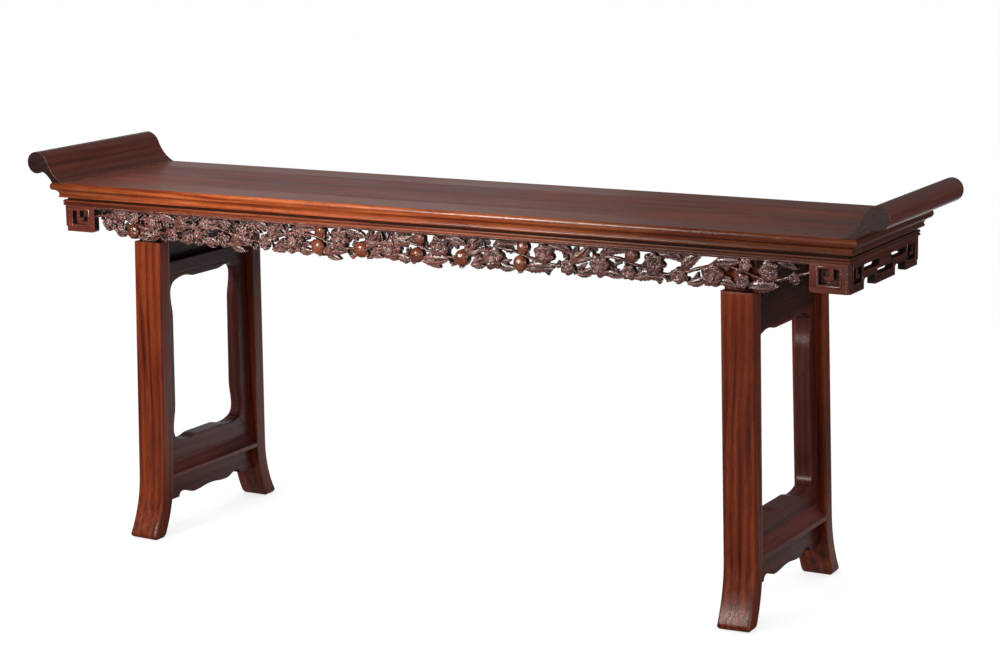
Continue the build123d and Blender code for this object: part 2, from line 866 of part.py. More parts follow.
def build_table():
    nodes = {"top_panel": make_panel()}
    for index, place in enumerate(batten_places()):
        nodes[f"panel_batten_{index + 1}"] = place * make_batten()
    for name, piece in front_pieces().items():
        nodes[name.format("front")] = piece
        nodes[name.format("back")] = mirror(piece, about=Plane.XZ)
    for name, piece in right_pieces().items():
        nodes[name.format("right")] = piece
        nodes[name.format("left")] = mirror(piece, about=Plane.YZ)
    for name, piece in front_corner_pieces().items():
        rear = mirror(piece, about=Plane.XZ)
        nodes[name.format("front_right")] = piece
        nodes[name.format("front_left")] = mirror(piece, about=Plane.YZ)
        nodes[name.format("back_right")] = rear
        nodes[name.format("back_left")] = mirror(rear, about=Plane.YZ)
    return nodes


os.makedirs("parts", exist_ok=True)
for node, solid in build_table().items():
    export_step(solid, f"parts/{node}.step")
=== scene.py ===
import random
import bmesh
import bpy
import numpy as np
from math import cos, pi, radians, sin
from mathutils import Matrix, Vector


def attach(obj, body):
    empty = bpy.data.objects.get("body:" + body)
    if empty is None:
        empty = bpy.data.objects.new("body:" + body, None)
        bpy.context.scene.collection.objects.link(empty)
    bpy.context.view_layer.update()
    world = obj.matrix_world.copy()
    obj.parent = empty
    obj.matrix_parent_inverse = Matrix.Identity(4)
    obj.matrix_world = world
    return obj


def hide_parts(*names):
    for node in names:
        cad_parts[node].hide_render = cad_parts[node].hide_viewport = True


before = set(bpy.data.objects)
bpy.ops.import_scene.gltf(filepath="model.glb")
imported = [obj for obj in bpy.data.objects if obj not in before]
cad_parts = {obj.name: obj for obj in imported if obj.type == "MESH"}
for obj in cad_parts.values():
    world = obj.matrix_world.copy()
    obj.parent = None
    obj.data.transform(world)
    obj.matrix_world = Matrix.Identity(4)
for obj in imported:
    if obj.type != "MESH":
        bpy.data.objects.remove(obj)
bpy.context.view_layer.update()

# Altar table in lacquered rosewood. Metres; X runs along the table, the front is -Y, Z is up.


def addObject(name, data):
    obj = bpy.data.objects.new(name, data)
    bpy.context.scene.collection.objects.link(obj)
    return obj


# camera and lamps

# where the camera stands (metres) and how it is turned (radians); lens and sensor are in millimetres
camera = {"lens": 88.8154, "sensor": 36, "yaw": 0.5170122, "pitch": 0.2027263, "roll": -0.0161631,
          "place": (2.81413, -4.80942, 1.67236)}


def makeCamera():
    data = bpy.data.cameras.new("camera")
    data.lens = camera["lens"]
    data.sensor_width = camera["sensor"]
    data.sensor_fit = "HORIZONTAL"
    yaw, pitch, roll = camera["yaw"], camera["pitch"], camera["roll"]
    forward = Vector((-sin(yaw) * cos(pitch), cos(yaw) * cos(pitch), -sin(pitch)))
    level = Vector((cos(yaw), sin(yaw), 0))
    above = level.cross(forward)
    right = level * cos(roll) + above * sin(roll)
    up = above * cos(roll) - level * sin(roll)
    turned = Matrix((right, up, -forward)).transposed().to_4x4()
    obj = addObject("camera", data)
    obj.matrix_world = Matrix.Translation(camera["place"]) @ turned
    bpy.context.scene.camera = obj
    print("camera placed")


# each lamp: where it is, what it looks at, its size in metres, its power in watts and its colour
lamps = {
    "key": {"place": (-1.0, -2.5, 1.6), "aim": (-0.35, -0.2, 0.72), "size": 0.6, "power": 62,
            "colour": (1.0, 0.96, 0.92)},
    "fill": {"place": (1.2, -4.2, 0.9), "aim": (0.0, 0.0, 0.4), "size": 2.4, "power": 26,
             "colour": (1.0, 0.97, 0.95)},
    "side": {"place": (5.0, -1.4, 1.9), "aim": (0.0, 0.0, 0.4), "size": 1.6, "power": 75,
             "colour": (1.0, 0.97, 0.95)},
    "back": {"place": (-3.6, 4.8, 1.8), "aim": (-0.4, 0.0, 0.85), "size": 3.0, "power": 6,
             "colour": (1.0, 0.98, 1.0)},
}
# brightness of the room for the table's own light, and of what the camera sees behind it
surroundings = {"light": 0.13, "seen": 1.0}


def makeLamps():
    for name, lamp in lamps.items():
        data = bpy.data.lights.new(name, "AREA")
        data.shape = "DISK"
        data.size = lamp["size"]
        data.energy = lamp["power"]
        data.color = lamp["colour"]
        obj = addObject(name, data)
        aim = Vector(lamp["aim"]) - Vector(lamp["place"])
        obj.rotation_euler = aim.to_track_quat("-Z", "Y").to_euler()
        obj.location = lamp["place"]
    print("lamps lit")


# node helpers


# kind is the node's type without its ShaderNode; each input is a value, or the socket that feeds it
def addNode(tree, kind, inputs=None, **settings):
    node = tree.nodes.new("ShaderNode" + kind)
    for name, value in settings.items():
        setattr(node, name, value)
    for name, value in (inputs or {}).items():
        if isinstance(value, bpy.types.NodeSocket):
            tree.links.new(value, node.inputs[name])
        else:
            node.inputs[name].default_value = value
    return node


def calculate(tree, operation, *values, clamp=False):
    inputs = dict(enumerate(values))
    return addNode(tree, "Math", inputs, operation=operation, use_clamp=clamp).outputs[0]


def multiply(tree, first, second):
    return calculate(tree, "MULTIPLY", first, second)


def calculateVector(tree, operation, *vectors, result="Vector"):
    return addNode(tree, "VectorMath", dict(enumerate(vectors)), operation=operation).outputs[result]


def remap(tree, value, low, high, toLow=0.0, toHigh=1.0):
    inputs = {"Value": value, "From Min": low, "From Max": high, "To Min": toLow, "To Max": toHigh}
    return addNode(tree, "MapRange", inputs, interpolation_type="SMOOTHSTEP").outputs[0]


def blendColour(tree, factor, *colours):
    first, second = [colour if isinstance(colour, bpy.types.NodeSocket) else (*colour, 1.0) for colour in colours]
    return addNode(tree, "Mix", {0: factor, 6: first, 7: second},
                   data_type="RGBA", blend_type="MIX", clamp_factor=True).outputs[2]


def darker(colour, share):
    return tuple(share * part for part in colour)


def addNoise(tree, vector, scale, detail, roughness=0.5):
    return addNode(tree, "TexNoise",
                   {"Vector": vector, "Scale": scale, "Detail": detail, "Roughness": roughness})


# every piece has its origin at the table's, so this is the place on the table in metres
def objectPlace(tree):
    return addNode(tree, "TexCoord").outputs["Object"]


def splitVector(tree, vector):
    return addNode(tree, "SeparateXYZ", {0: vector}).outputs


# a socket is a value that starts at this number, or a vector where the start is None
def newGroup(name, inputs, outputs):
    group = bpy.data.node_groups.new(name, "ShaderNodeTree")
    for way, sockets in (("INPUT", inputs), ("OUTPUT", outputs)):
        for socketName, start in sockets.items():
            kind = "NodeSocketVector" if start is None else "NodeSocketFloat"
            socket = group.interface.new_socket(name=socketName, in_out=way, socket_type=kind)
            if start is not None:
                socket.default_value = start
    return group, group.nodes.new("NodeGroupInput"), group.nodes.new("NodeGroupOutput")


# shared effects

# along is a pattern's rate along the fibres against the rate across them, scale is per metre, and none and
# full are the ends of the noise that it takes up
grainPatterns = {
    "drift": {"along": 0.16, "scale": 7.0, "detail": 2.0},
    "streaks": {"along": 0.03, "detail": 5.0, "roughness": 0.62, "none": 0.3, "full": 0.7},
    "pores": {"along": 0.05, "scale": 900.0, "detail": 1.0, "none": 0.56, "full": 0.7},
    "cloud": {"along": 0.35, "scale": 9.0, "detail": 3.0, "none": 0.3, "full": 0.7},
}
ovalRings = 1.7  # how much closer the growth rings stand upwards than sideways


# growth rings, streaks and pores of a hardwood whose fibres run along X of the vector
def makeWoodGrainGroup():
    group, given, result = newGroup(
        "woodGrain", {"Vector": None, "Ring Size": 0.014, "Streak Size": 0.005, "Wander": 0.02},
        {"Rings": 0.0, "Streaks": 0.0, "Pores": 0.0, "Cloud": 0.0})

    def addPattern(name, vector, scale=None):
        look = grainPatterns[name]
        drawnOut = calculateVector(group, "MULTIPLY", vector, (look["along"], 1.0, 1.0))
        return addNoise(group, drawnOut, scale or look["scale"], look["detail"], look.get("roughness", 0.5))

    place = given.outputs["Vector"]
    drift = addPattern("drift", place).outputs["Color"]
    swing = calculateVector(group, "SUBTRACT", drift, (0.5, 0.5, 0.5))
    amount = addNode(group, "VectorMath", {0: swing, "Scale": given.outputs["Wander"]},
                     operation="SCALE").outputs[0]
    warped = calculateVector(group, "ADD", place, amount)
    flat = calculateVector(group, "MULTIPLY", warped, (0.0, 1.0, ovalRings))
    turns = calculate(group, "DIVIDE", calculateVector(group, "LENGTH", flat, result="Value"),
                      given.outputs["Ring Size"])
    wave = calculate(group, "SINE", multiply(group, turns, 2 * pi))
    group.links.new(calculate(group, "MULTIPLY_ADD", wave, 0.5, 0.5), result.inputs["Rings"])
    streakScale = calculate(group, "DIVIDE", 1.0, given.outputs["Streak Size"])
    for name, vector, scale in (("streaks", warped, streakScale), ("pores", warped, None), ("cloud", place, None)):
        noise = addPattern(name, vector, scale).outputs[0]
        share = remap(group, noise, grainPatterns[name]["none"], grainPatterns[name]["full"])
        group.links.new(share, result.inputs[name.capitalize()])
    return group


# cosines of the normal's turn where rubbed wear and painted highlight begin and are full, and the noise that makes
# them patchy
edgeLook = {"samples": 6, "begins": 0.995, "full": 0.9, "scale": 45.0, "detail": 3.0, "wornAndGlint": 0.35, "paler": 0.62}


# how much an edge is rubbed pale, which on the carving's rims and the flanges' arrises is a painted highlight, and
# the normal of the softened edge
def makeEdgeWearGroup():
    group, given, result = newGroup("edgeWearAndGlint", {"Vector": None, "Radius": 0.003}, {"WearAndGlint": 0.0, "Normal": None})
    soft = addNode(group, "Bevel", {"Radius": given.outputs["Radius"]}, samples=edgeLook["samples"]).outputs[0]
    true = addNode(group, "NewGeometry").outputs["Normal"]
    facing = calculateVector(group, "DOT_PRODUCT", soft, true, result="Value")
    edge = remap(group, facing, edgeLook["begins"], edgeLook["full"])
    noise = addNoise(group, given.outputs["Vector"], edgeLook["scale"], edgeLook["detail"]).outputs[0]
    patches = remap(group, noise, edgeLook["wornAndGlint"], edgeLook["paler"])
    group.links.new(multiply(group, edge, patches), result.inputs["WearAndGlint"])
    group.links.new(soft, result.inputs["Normal"])
    return group


# how open a place is where it counts as open, and where it counts as a full hollow
hollowLook = {"samples": 6, "open": 0.92, "full": 0.35}


# how shut in a place is; it darkens hollows and coves as painted shade, which also stands for wax and dust gathered
# in the carving
def makeHollowGroup():
    group, given, result = newGroup("hollow", {"Distance": 0.012}, {"Depth": 0.0})
    shade = addNode(group, "AmbientOcclusion", {"Distance": given.outputs["Distance"]},
                    samples=hollowLook["samples"])
    group.links.new(remap(group, shade.outputs["AO"], hollowLook["open"], hollowLook["full"]),
                    result.inputs["Depth"])
    return group


def makeGroups():
    print("shader groups made")
    return {"grain": makeWoodGrainGroup(), "edge": makeEdgeWearGroup(), "hollow": makeHollowGroup()}


# timber finishes

# colours are linear; ring and streak are sizes in metres; the edge colour is that of rubbed edges, and on the
# carving and the flanges also a painted highlight
fineCut = {"ring": 0.022, "streak": 0.008, "wander": 0.03}
broadCut = {"ring": 0.03, "streak": 0.012, "wander": 0.04}
finishes = {
    "top": {"deep": (0.15, 0.032, 0.020), "middle": (0.32, 0.074, 0.046), "light": (0.46, 0.120, 0.078),
            "wornAndGlint": (0.42, 0.16, 0.09), "ring": 0.03, "streak": 0.009, "wander": 0.05,
            "rough": 0.40, "specular": 0.36, "coat": 0.06, "edge": 0.002, "wearAndGlint": 0.5},
    "moulding": {"deep": (0.16, 0.022, 0.004), "middle": (0.42, 0.075, 0.014), "light": (0.68, 0.170, 0.045),
                 "wornAndGlint": (0.56, 0.20, 0.08), **fineCut,
                 "rough": 0.25, "specular": 0.36, "coat": 0.12, "edge": 0.003, "wearAndGlint": 0.4},
    "bead": {"deep": (0.12, 0.020, 0.006), "middle": (0.29, 0.056, 0.019), "light": (0.48, 0.125, 0.045),
             "wornAndGlint": (0.56, 0.20, 0.08), **fineCut,
             "rough": 0.30, "specular": 0.24, "coat": 0.03, "edge": 0.003, "wearAndGlint": 0.35},
    "bracket": {"deep": (0.06, 0.012, 0.007), "middle": (0.13, 0.026, 0.016), "light": (0.20, 0.042, 0.026),
                "wornAndGlint": (0.42, 0.14, 0.09), **fineCut,
                "rough": 0.24, "specular": 0.5, "coat": 0.3, "edge": 0.002, "wearAndGlint": 0.6},
    # the end mouldings are much darker than the front ones: painted shade, for where the flanges' rolls shade them
    "shadedEndMoulding": {"deep": (0.04, 0.009, 0.004), "middle": (0.09, 0.020, 0.009), "light": (0.15, 0.034, 0.016),
                    "wornAndGlint": (0.42, 0.16, 0.08), **fineCut,
                    "rough": 0.32, "specular": 0.3, "coat": 0.1, "edge": 0.003, "wearAndGlint": 0.5},
    "leg": {"deep": (0.046, 0.006, 0.002), "middle": (0.150, 0.020, 0.005), "light": (0.25, 0.044, 0.010),
            "wornAndGlint": (0.34, 0.11, 0.05), "ring": 0.034, "streak": 0.010, "wander": 0.06,
            "rough": 0.30, "specular": 0.30, "coat": 0.06, "edge": 0.009, "wearAndGlint": 0.12},
    "frame": {"deep": (0.040, 0.008, 0.006), "middle": (0.086, 0.016, 0.012), "light": (0.130, 0.027, 0.021),
              "wornAndGlint": (0.26, 0.09, 0.06), **broadCut,
              "rough": 0.30, "specular": 0.32, "coat": 0.06, "edge": 0.003, "wearAndGlint": 0.5},
    # lit and shaded copies of the frame finish: the stretchers are lighter as painted light from above, the upper
    # rails and panels darker as painted shade under the top
    "stretcher": {"deep": (0.056, 0.012, 0.009), "middle": (0.122, 0.024, 0.018), "light": (0.185, 0.040, 0.030),
                  "wornAndGlint": (0.30, 0.11, 0.07), **broadCut,
                  "rough": 0.28, "specular": 0.4, "coat": 0.1, "edge": 0.003, "wearAndGlint": 0.6},
    "shadedUpperRail": {"deep": (0.024, 0.006, 0.004), "middle": (0.048, 0.011, 0.007), "light": (0.076, 0.018, 0.012),
                  "wornAndGlint": (0.20, 0.07, 0.05), **broadCut,
                  "rough": 0.32, "specular": 0.36, "coat": 0.08, "edge": 0.003, "wearAndGlint": 0.4},
    # the flange's pale edge colour is partly rubbed wear and partly a painted highlight along its arrises
    "flange": {"deep": (0.078, 0.015, 0.009), "middle": (0.138, 0.029, 0.017), "light": (0.19, 0.044, 0.029),
               "wornAndGlint": (0.50, 0.20, 0.12), **broadCut,
               "rough": 0.30, "specular": 0.45, "coat": 0.3, "edge": 0.003, "wearAndGlint": 0.7},
    "batten": {"deep": (0.16, 0.075, 0.035), "middle": (0.26, 0.13, 0.065), "light": (0.36, 0.20, 0.11),
               "wornAndGlint": (0.40, 0.25, 0.15), "ring": 0.012, "streak": 0.004, "wander": 0.015,
               "rough": 0.6, "specular": 0.3, "coat": 0.0, "edge": 0.001, "wearAndGlint": 0.3},
    # the carving's near-white edge colour, laid on its rims and on its ridges towards the left, is a painted
    # highlight
    "carving": {"deep": (0.030, 0.007, 0.005), "middle": (0.125, 0.028, 0.020), "light": (0.31, 0.085, 0.058),
                "wornAndGlint": (0.95, 0.62, 0.56), "ring": 0.02, "streak": 0.006, "wander": 0.03,
                "rough": 0.18, "specular": 0.65, "coat": 0.5, "edge": 0.0019, "wearAndGlint": 0.95},
    "fruit": {"deep": (0.06, 0.012, 0.005), "middle": (0.19, 0.042, 0.016), "light": (0.36, 0.095, 0.040),
              "wornAndGlint": (0.60, 0.26, 0.14), "ring": 0.012, "streak": 0.005, "wander": 0.02,
              "rough": 0.22, "specular": 0.5, "coat": 0.5, "edge": 0.002, "wearAndGlint": 0.5},
}
# what counts in the tone, where the three colours sit along it, and what pores and streaks do to the surface
timber = {"streaks": 0.55, "rings": 0.3, "cloud": 0.3, "deepAt": 0.12, "middleAt": 0.52, "lightAt": 0.95,
          "pores": 0.55, "poreShade": 0.4, "roughSwing": 0.1, "poreSink": -0.6, "bump": 0.35, "grainDepth": 0.0004,
          "coatRough": 0.18}
# what end grain does, with the painted shade in hollows and the film on upward faces, which is dust and a painted
# sheen; the cuts are cosines of a face's lean
weatheringAndShading = {"endGrain": 0.16, "endGrainRough": 0.1, "endGrainCut": (0.7, 0.95),
              "sheenAndDustFilm": (0.32, 0.092, 0.064), "filmRough": 0.12, "filmCut": (0.75, 0.98),
              "hollowShade": 0.1, "hollowRough": 0.3}
# painted shade, darker towards both ends where the lamps' light falls off: where along X it begins and is full, and
# how strong it is at the left end against the right one
endShading = {"right": (-0.1, 0.7), "left": (-0.6, -0.95), "leftShare": 0.7}
# gouge marks per metre; furrow and ridge: the part of the noise, from none to full, and the strength; furrows get
# painted shade and ridges a painted highlight that grows towards the left
gouges = {"scale": 230.0, "detail": 1.5, "furrow": (0.48, 0.34), "furrowShare": 0.45, "furrowShade": 0.2,
          "ridge": (0.56, 0.70), "ridgeGlintShare": 0.20, "ridgeGlintSide": (0.5, -0.4)}
# how an axis of the timber is turned so that its fibres run along X
turnTo = {"x": (0.0, 0.0, 0.0), "y": (0.0, 0.0, -pi / 2), "z": (0.0, pi / 2, 0.0)}
# how far apart in the timber two pieces are cut, along X, Y and Z
cutShift = (7.3, 0.31, 0.57)


def startMaterial(name):
    material = bpy.data.materials.new(name)
    material.use_nodes = True
    material.node_tree.nodes.clear()
    return material, material.node_tree


# every piece takes its own cut of the timber, shifted by its object's random number
def grainVector(tree, axis):
    own = addNode(tree, "ObjectInfo").outputs["Random"]
    shift = addNode(tree, "CombineXYZ",
                    {slot: multiply(tree, own, apart) for slot, apart in enumerate(cutShift)})
    turned = addNode(tree, "Mapping", {"Vector": objectPlace(tree), "Rotation": turnTo[axis]},
                     vector_type="TEXTURE")
    return calculateVector(tree, "ADD", turned.outputs[0], shift.outputs[0])


# the shares, in the order of the arguments, are: of the painted shade in hollows this far in reach, which also
# stands for wax and dust;
# of the film on what faces up, dust with a painted sheen; and of the painted shade towards the ends; tooled is the
# depth of the gouge marks in metres
def makeWood(name, axis, groups, finish, hollow=0.0, dustAndSheen=0.0, reach=0.012, endShade=0.0, tooled=0.0):
    material, tree = startMaterial(name)
    vector = grainVector(tree, axis)
    grain = addNode(tree, "Group",
                    {"Vector": vector, "Ring Size": finish["ring"], "Streak Size": finish["streak"],
                     "Wander": finish["wander"]}, node_tree=groups["grain"]).outputs
    edge = addNode(tree, "Group", {"Vector": vector, "Radius": finish["edge"]}, node_tree=groups["edge"]).outputs
    tone = calculate(tree, "MULTIPLY_ADD", grain["Streaks"], timber["streaks"],
                     multiply(tree, grain["Rings"], timber["rings"]))
    tone = calculate(tree, "MULTIPLY_ADD", grain["Cloud"], timber["cloud"], tone, clamp=True)
    ramp = addNode(tree, "ValToRGB", {"Fac": tone})
    stops = ramp.color_ramp.elements
    stops[0].position, stops[0].color = timber["deepAt"], (*finish["deep"], 1)
    stops[1].position, stops[1].color = timber["lightAt"], (*finish["light"], 1)
    stops.new(timber["middleAt"]).color = (*finish["middle"], 1)
    colour = blendColour(tree, multiply(tree, grain["Pores"], timber["pores"]),
                         ramp.outputs["Color"], darker(finish["deep"], timber["poreShade"]))
    # rubbed edges, which on the carving's rims and the flanges' arrises are a painted highlight
    colour = blendColour(tree, multiply(tree, edge["WearAndGlint"], finish["wearAndGlint"]), colour, finish["wornAndGlint"])
    rough = calculate(tree, "MULTIPLY_ADD", grain["Cloud"], timber["roughSwing"],
                      finish["rough"] - timber["roughSwing"] / 2)
    facing = splitVector(tree, addNode(tree, "NewGeometry").outputs["Normal"])
    cut = remap(tree, calculate(tree, "ABSOLUTE", facing["xyz".index(axis)]), *weatheringAndShading["endGrainCut"])
    colour = blendColour(tree, multiply(tree, cut, 1 - weatheringAndShading["endGrain"]), colour, (0, 0, 0))
    rough = calculate(tree, "MULTIPLY_ADD", cut, weatheringAndShading["endGrainRough"], rough)
    # painted shade: the colour darkens towards both ends of the table
    if endShade:
        along = splitVector(tree, objectPlace(tree))[0]
        for end, share in (("right", endShade), ("left", endShading["leftShare"] * endShade)):
            colour = blendColour(tree, remap(tree, along, *endShading[end], 0.0, share), colour, (0, 0, 0))
    # a pale film on upward faces: dust, and a painted sheen of the room's light
    if dustAndSheen:
        sheenAndDustFilm = multiply(tree, remap(tree, facing[2], *weatheringAndShading["filmCut"]), dustAndSheen)
        colour = blendColour(tree, sheenAndDustFilm, colour, weatheringAndShading["sheenAndDustFilm"])
        rough = calculate(tree, "MULTIPLY_ADD", sheenAndDustFilm, weatheringAndShading["filmRough"], rough)
    # painted shade in hollows and coves, also standing for wax and dust
    if hollow:
        depth = addNode(tree, "Group", {"Distance": reach}, node_tree=groups["hollow"]).outputs["Depth"]
        colour = blendColour(tree, multiply(tree, depth, hollow), colour,
                             darker(finish["deep"], weatheringAndShading["hollowShade"]))
        rough = calculate(tree, "MULTIPLY_ADD", depth, weatheringAndShading["hollowRough"], rough)
    height = calculate(tree, "MULTIPLY_ADD", grain["Pores"], timber["poreSink"], grain["Streaks"])
    normal = addNode(tree, "Bump",
                     {"Strength": timber["bump"], "Distance": timber["grainDepth"], "Height": height,
                      "Normal": edge["Normal"]}).outputs[0]
    if tooled:  # painted shade in the furrows, and a painted highlight on the ridges towards the left
        spot = objectPlace(tree)
        marks = addNoise(tree, spot, gouges["scale"], gouges["detail"]).outputs[0]
        toLeft = remap(tree, splitVector(tree, spot)[0], *gouges["ridgeGlintSide"])
        pale = multiply(tree, remap(tree, marks, *gouges["ridge"], 0.0, gouges["ridgeGlintShare"]), toLeft)
        colour = blendColour(tree, remap(tree, marks, *gouges["furrow"], 0.0, gouges["furrowShare"]), colour,
                             darker(finish["deep"], gouges["furrowShade"]))
        colour = blendColour(tree, pale, colour, finish["wornAndGlint"])
        normal = addNode(tree, "Bump",
                         {"Strength": 1.0, "Distance": tooled, "Height": marks, "Normal": normal}).outputs[0]
    shader = addNode(tree, "BsdfPrincipled",
                     {"Base Color": colour, "Roughness": rough, "Normal": normal,
                      "Specular IOR Level": finish["specular"], "Coat Weight": finish["coat"],
                      "Coat Roughness": timber["coatRough"]})
    output = addNode(tree, "OutputMaterial", {"Surface": shader.outputs[0]})
    output.target = "ALL"
    return material


def paint(piece, material):
    piece.data.materials.clear()
    piece.data.materials.append(material)


def longTwins(pattern):
    return [pattern.format(side) for side in ("front", "back")]


def endTwins(pattern):
    return [pattern.format(side) for side in ("left", "right")]


def corners(pattern):
    return [pattern.format(end + "_" + side) for end in ("front", "back") for side in ("left", "right")]


def finishFrameNodes(groups):
    # painted shade in the hollows between rails, aprons and stretchers
    sunk = {"hollow": 0.8, "reach": 0.02}
    jobs = [
        ("stileWood", "x", "moulding", longTwins("top_{}_stile"),
         {"dustAndSheen": 0.8, "hollow": 0.9, "reach": 0.014, "endShade": 0.7}),
        ("endRailWood", "y", "shadedEndMoulding", endTwins("top_{}_end_rail"), {"dustAndSheen": 0.8, "hollow": 0.9}),
        ("panelWood", "x", "top", ["top_panel"], {"dustAndSheen": 0.15}),
        ("flangeWood", "y", "flange", endTwins("{}_flange"), {}),
        ("longRailWood", "x", "bead", longTwins("{}_bead_rail"), {"hollow": 0.9, "reach": 0.014, "endShade": 0.7}),
        ("shortRailWood", "y", "shadedEndMoulding", endTwins("{}_bead_rail"), {"hollow": 0.9}),
        ("bracketWood", "x", "bracket", corners("{}_bracket"), {"hollow": 0.95, "reach": 0.02}),
        ("endApronWood", "y", "frame", endTwins("{}_end_apron"), {"hollow": 0.95, "reach": 0.02}),
        ("legWood", "z", "leg", corners("{}_leg"), {}),
        ("crossWood", "y", "frame",
         endTwins("{}_lower_apron") + endTwins("{}_lining_top") + endTwins("{}_lining_bottom"), sunk),
        # the frame wood as lit and shaded copies: painted light on the stretchers, painted shade on the upper rails
        # and panels
        ("litStretcherWood", "y", "stretcher", endTwins("{}_stretcher"), sunk),
        ("upperRailWood", "y", "shadedUpperRail", endTwins("{}_upper_rail") + endTwins("{}_upper_panel"), sunk),
        ("uprightWood", "z", "frame", endTwins("{}_lining_front") + endTwins("{}_lining_back"), {}),
        ("battenWood", "y", "batten", [f"panel_batten_{index + 1}" for index in range(5)], {}),
    ]
    for name, axis, finish, nodes, extras in jobs:
        material = makeWood(name, axis, groups, finishes[finish], **extras)
        for node in nodes:
            paint(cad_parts[node], material)
    print("finishes applied")


# carved aprons

# sizes in metres; places on the board are shares of one sprig's length and of the board's height
carving = {"sprigs": 7, "seed": 11, "face": 0.201, "back": 0.1835, "halfLength": 0.920,
           "bottom": 0.722, "top": 0.794, "endRise": 0.026, "endSweep": 0.120, "band": 0.005,
           "vineRadius": 0.0042, "vineDepth": 0.0078, "vineOut": 0.1925, "vineMiddle": 0.49, "vineWave": 0.19,
           "twigRadius": 0.0019, "twigDepth": 0.006, "twigOut": 0.1945}
# how far each stands out from the board's face, in metres
standing = {"heart": 0.0015, "blossom": -0.001, "opened": -0.002, "leaf": -0.0045, "pod": -0.005, "fruit": -0.006}
# left and right are how full the board is there; size is a share of its height; blossoms and leaves are the
# ends of their parts of a draw
fillers = {"rows": 4, "columns": 11, "left": 0.97, "right": 0.2, "size": (0.13, 0.18), "overlap": 0.006,
           "sunk": (0.008, 0.0125), "foot": (0.0005, 0.003), "blossoms": (0.25, 0.4), "leaves": 0.88}
# closeness above which there are posies, three leaflets to a leaf, and fruits rather than blossoms
closenessFor = {"posies": 0.72, "threeLeaflets": 0.4, "fruits": 0.3}
# rings of small blossoms: ring and size are shares of the radius, twist is in degrees, the rest in metres
posies = {"blossom": {"count": 6, "ring": 0.70, "size": 0.40, "twist": 31, "sunk": (0.0015, 0.004), "step": 0.0004},
          "fruit": {"count": 4, "ring": 0.52, "size": 0.56, "twist": 40, "sunk": (0.0, 0.003), "step": 0.0003}}
# across, up, size, and for leaves and blossoms the turn in degrees
sprigLeaves = [(0.04, 0.22, 0.66, 24), (0.30, 0.16, 0.64, -10), (0.61, 0.175, 0.95, 5),
               (0.29, 0.80, 0.86, 8), (0.81, 0.80, 0.80, -16), (0.985, 0.70, 0.86, 40)]
sprigFruits = [(0.43, 0.27, 0.27), (0.455, 0.77, 0.23), (0.87, 0.29, 0.28)]
sprigBlossoms = [(0.17, 0.385, 0.395, 12), (0.655, 0.615, 0.38, 40)]
# heights are shares of a leaf's length, and bow and lift are the most that chance can add
leaf = {"width": 0.34, "teeth": 0.24, "bow": 0.16, "belly": 0.055, "rib": 0.075, "veins": 0.020, "lift": 0.05}
# degrees between two faces from which their edge is sharp
sharpFrom = 48


class Relief:  # gathers closed shells into one mesh
    def __init__(self):
        self.points = []
        self.faces = []
        self.count = 0

    def add(self, points, faces):
        self.points.append(points)
        self.faces.extend(tuple(corner + self.count for corner in face) for face in faces)
        self.count += len(points)

    def build(self, name, mirrored=False):
        points = np.concatenate(self.points)
        faces = self.faces
        if mirrored:
            points = points * np.array([1.0, -1.0, 1.0])
            faces = [face[::-1] for face in faces]
        mesh = bpy.data.meshes.new(name)
        mesh.from_pydata(points.tolist(), [], faces)
        shells = bmesh.new()
        shells.from_mesh(mesh)
        bmesh.ops.recalc_face_normals(shells, faces=shells.faces)
        shells.to_mesh(mesh)
        shells.free()
        mesh.polygons.foreach_set("use_smooth", [True] * len(mesh.polygons))
        mesh.set_sharp_from_angle(angle=radians(sharpFrom))
        return addObject(name, mesh)


# lowest edge of the board, which sweeps up towards each end
def boardBottom(x):
    past = (abs(x) - (carving["halfLength"] - carving["endSweep"])) / carving["endSweep"]
    past = min(max(past, 0.0), 1.0)
    return carving["bottom"] + carving["endRise"] * past * past * (3 - 2 * past)


def boardHeight(x):
    return carving["top"] - boardBottom(x)


def boardPlace(index, across, up):
    pitch = 2 * carving["halfLength"] / carving["sprigs"]
    x = -carving["halfLength"] + (index + across) * pitch
    return x, boardBottom(x) + up * boardHeight(x)


# the spot on the board this far from another, at a bearing in degrees
def spotFrom(spot, far, bearing):
    return spot[0] + far * cos(radians(bearing)), spot[1] + far * sin(radians(bearing))


# turns points drawn flat (along, across, out) into place on the front board
def setOnBoard(points, centre, angle):
    turn = radians(angle)
    along, across, out = points[..., 0], points[..., 1], points[..., 2]
    x = centre[0] + along * cos(turn) - across * sin(turn)
    z = centre[1] + along * sin(turn) + across * cos(turn)
    return np.stack([x, -out, z], axis=-1)


# a closed shell over a grid of front points, with straight walls down to a flat back
def addShell(relief, front, back, centre, angle):
    rows, columns = front.shape[:2]
    rear = front.copy()
    rear[..., 2] = back
    border = [(row, 0) for row in range(rows)] + [(rows - 1, column) for column in range(1, columns)]
    border += [(row, columns - 1) for row in range(rows - 2, -1, -1)]
    border += [(0, column) for column in range(columns - 2, 0, -1)]
    points = np.concatenate([front.reshape(-1, 3), np.array([rear[spot] for spot in border])])
    first = rows * columns
    faces = []
    for row in range(rows - 1):
        for column in range(columns - 1):
            near = row * columns + column
            faces.append((near, near + columns, near + columns + 1, near + 1))
    size = len(border)
    for step in range(size):
        after = (step + 1) % size
        a, b = border[step], border[after]
        faces.append((a[0] * columns + a[1], first + step, first + after, b[0] * columns + b[1])[::-1])
    faces.append(tuple(first + step for step in range(size)))
    relief.add(setOnBoard(points, centre, angle), faces)


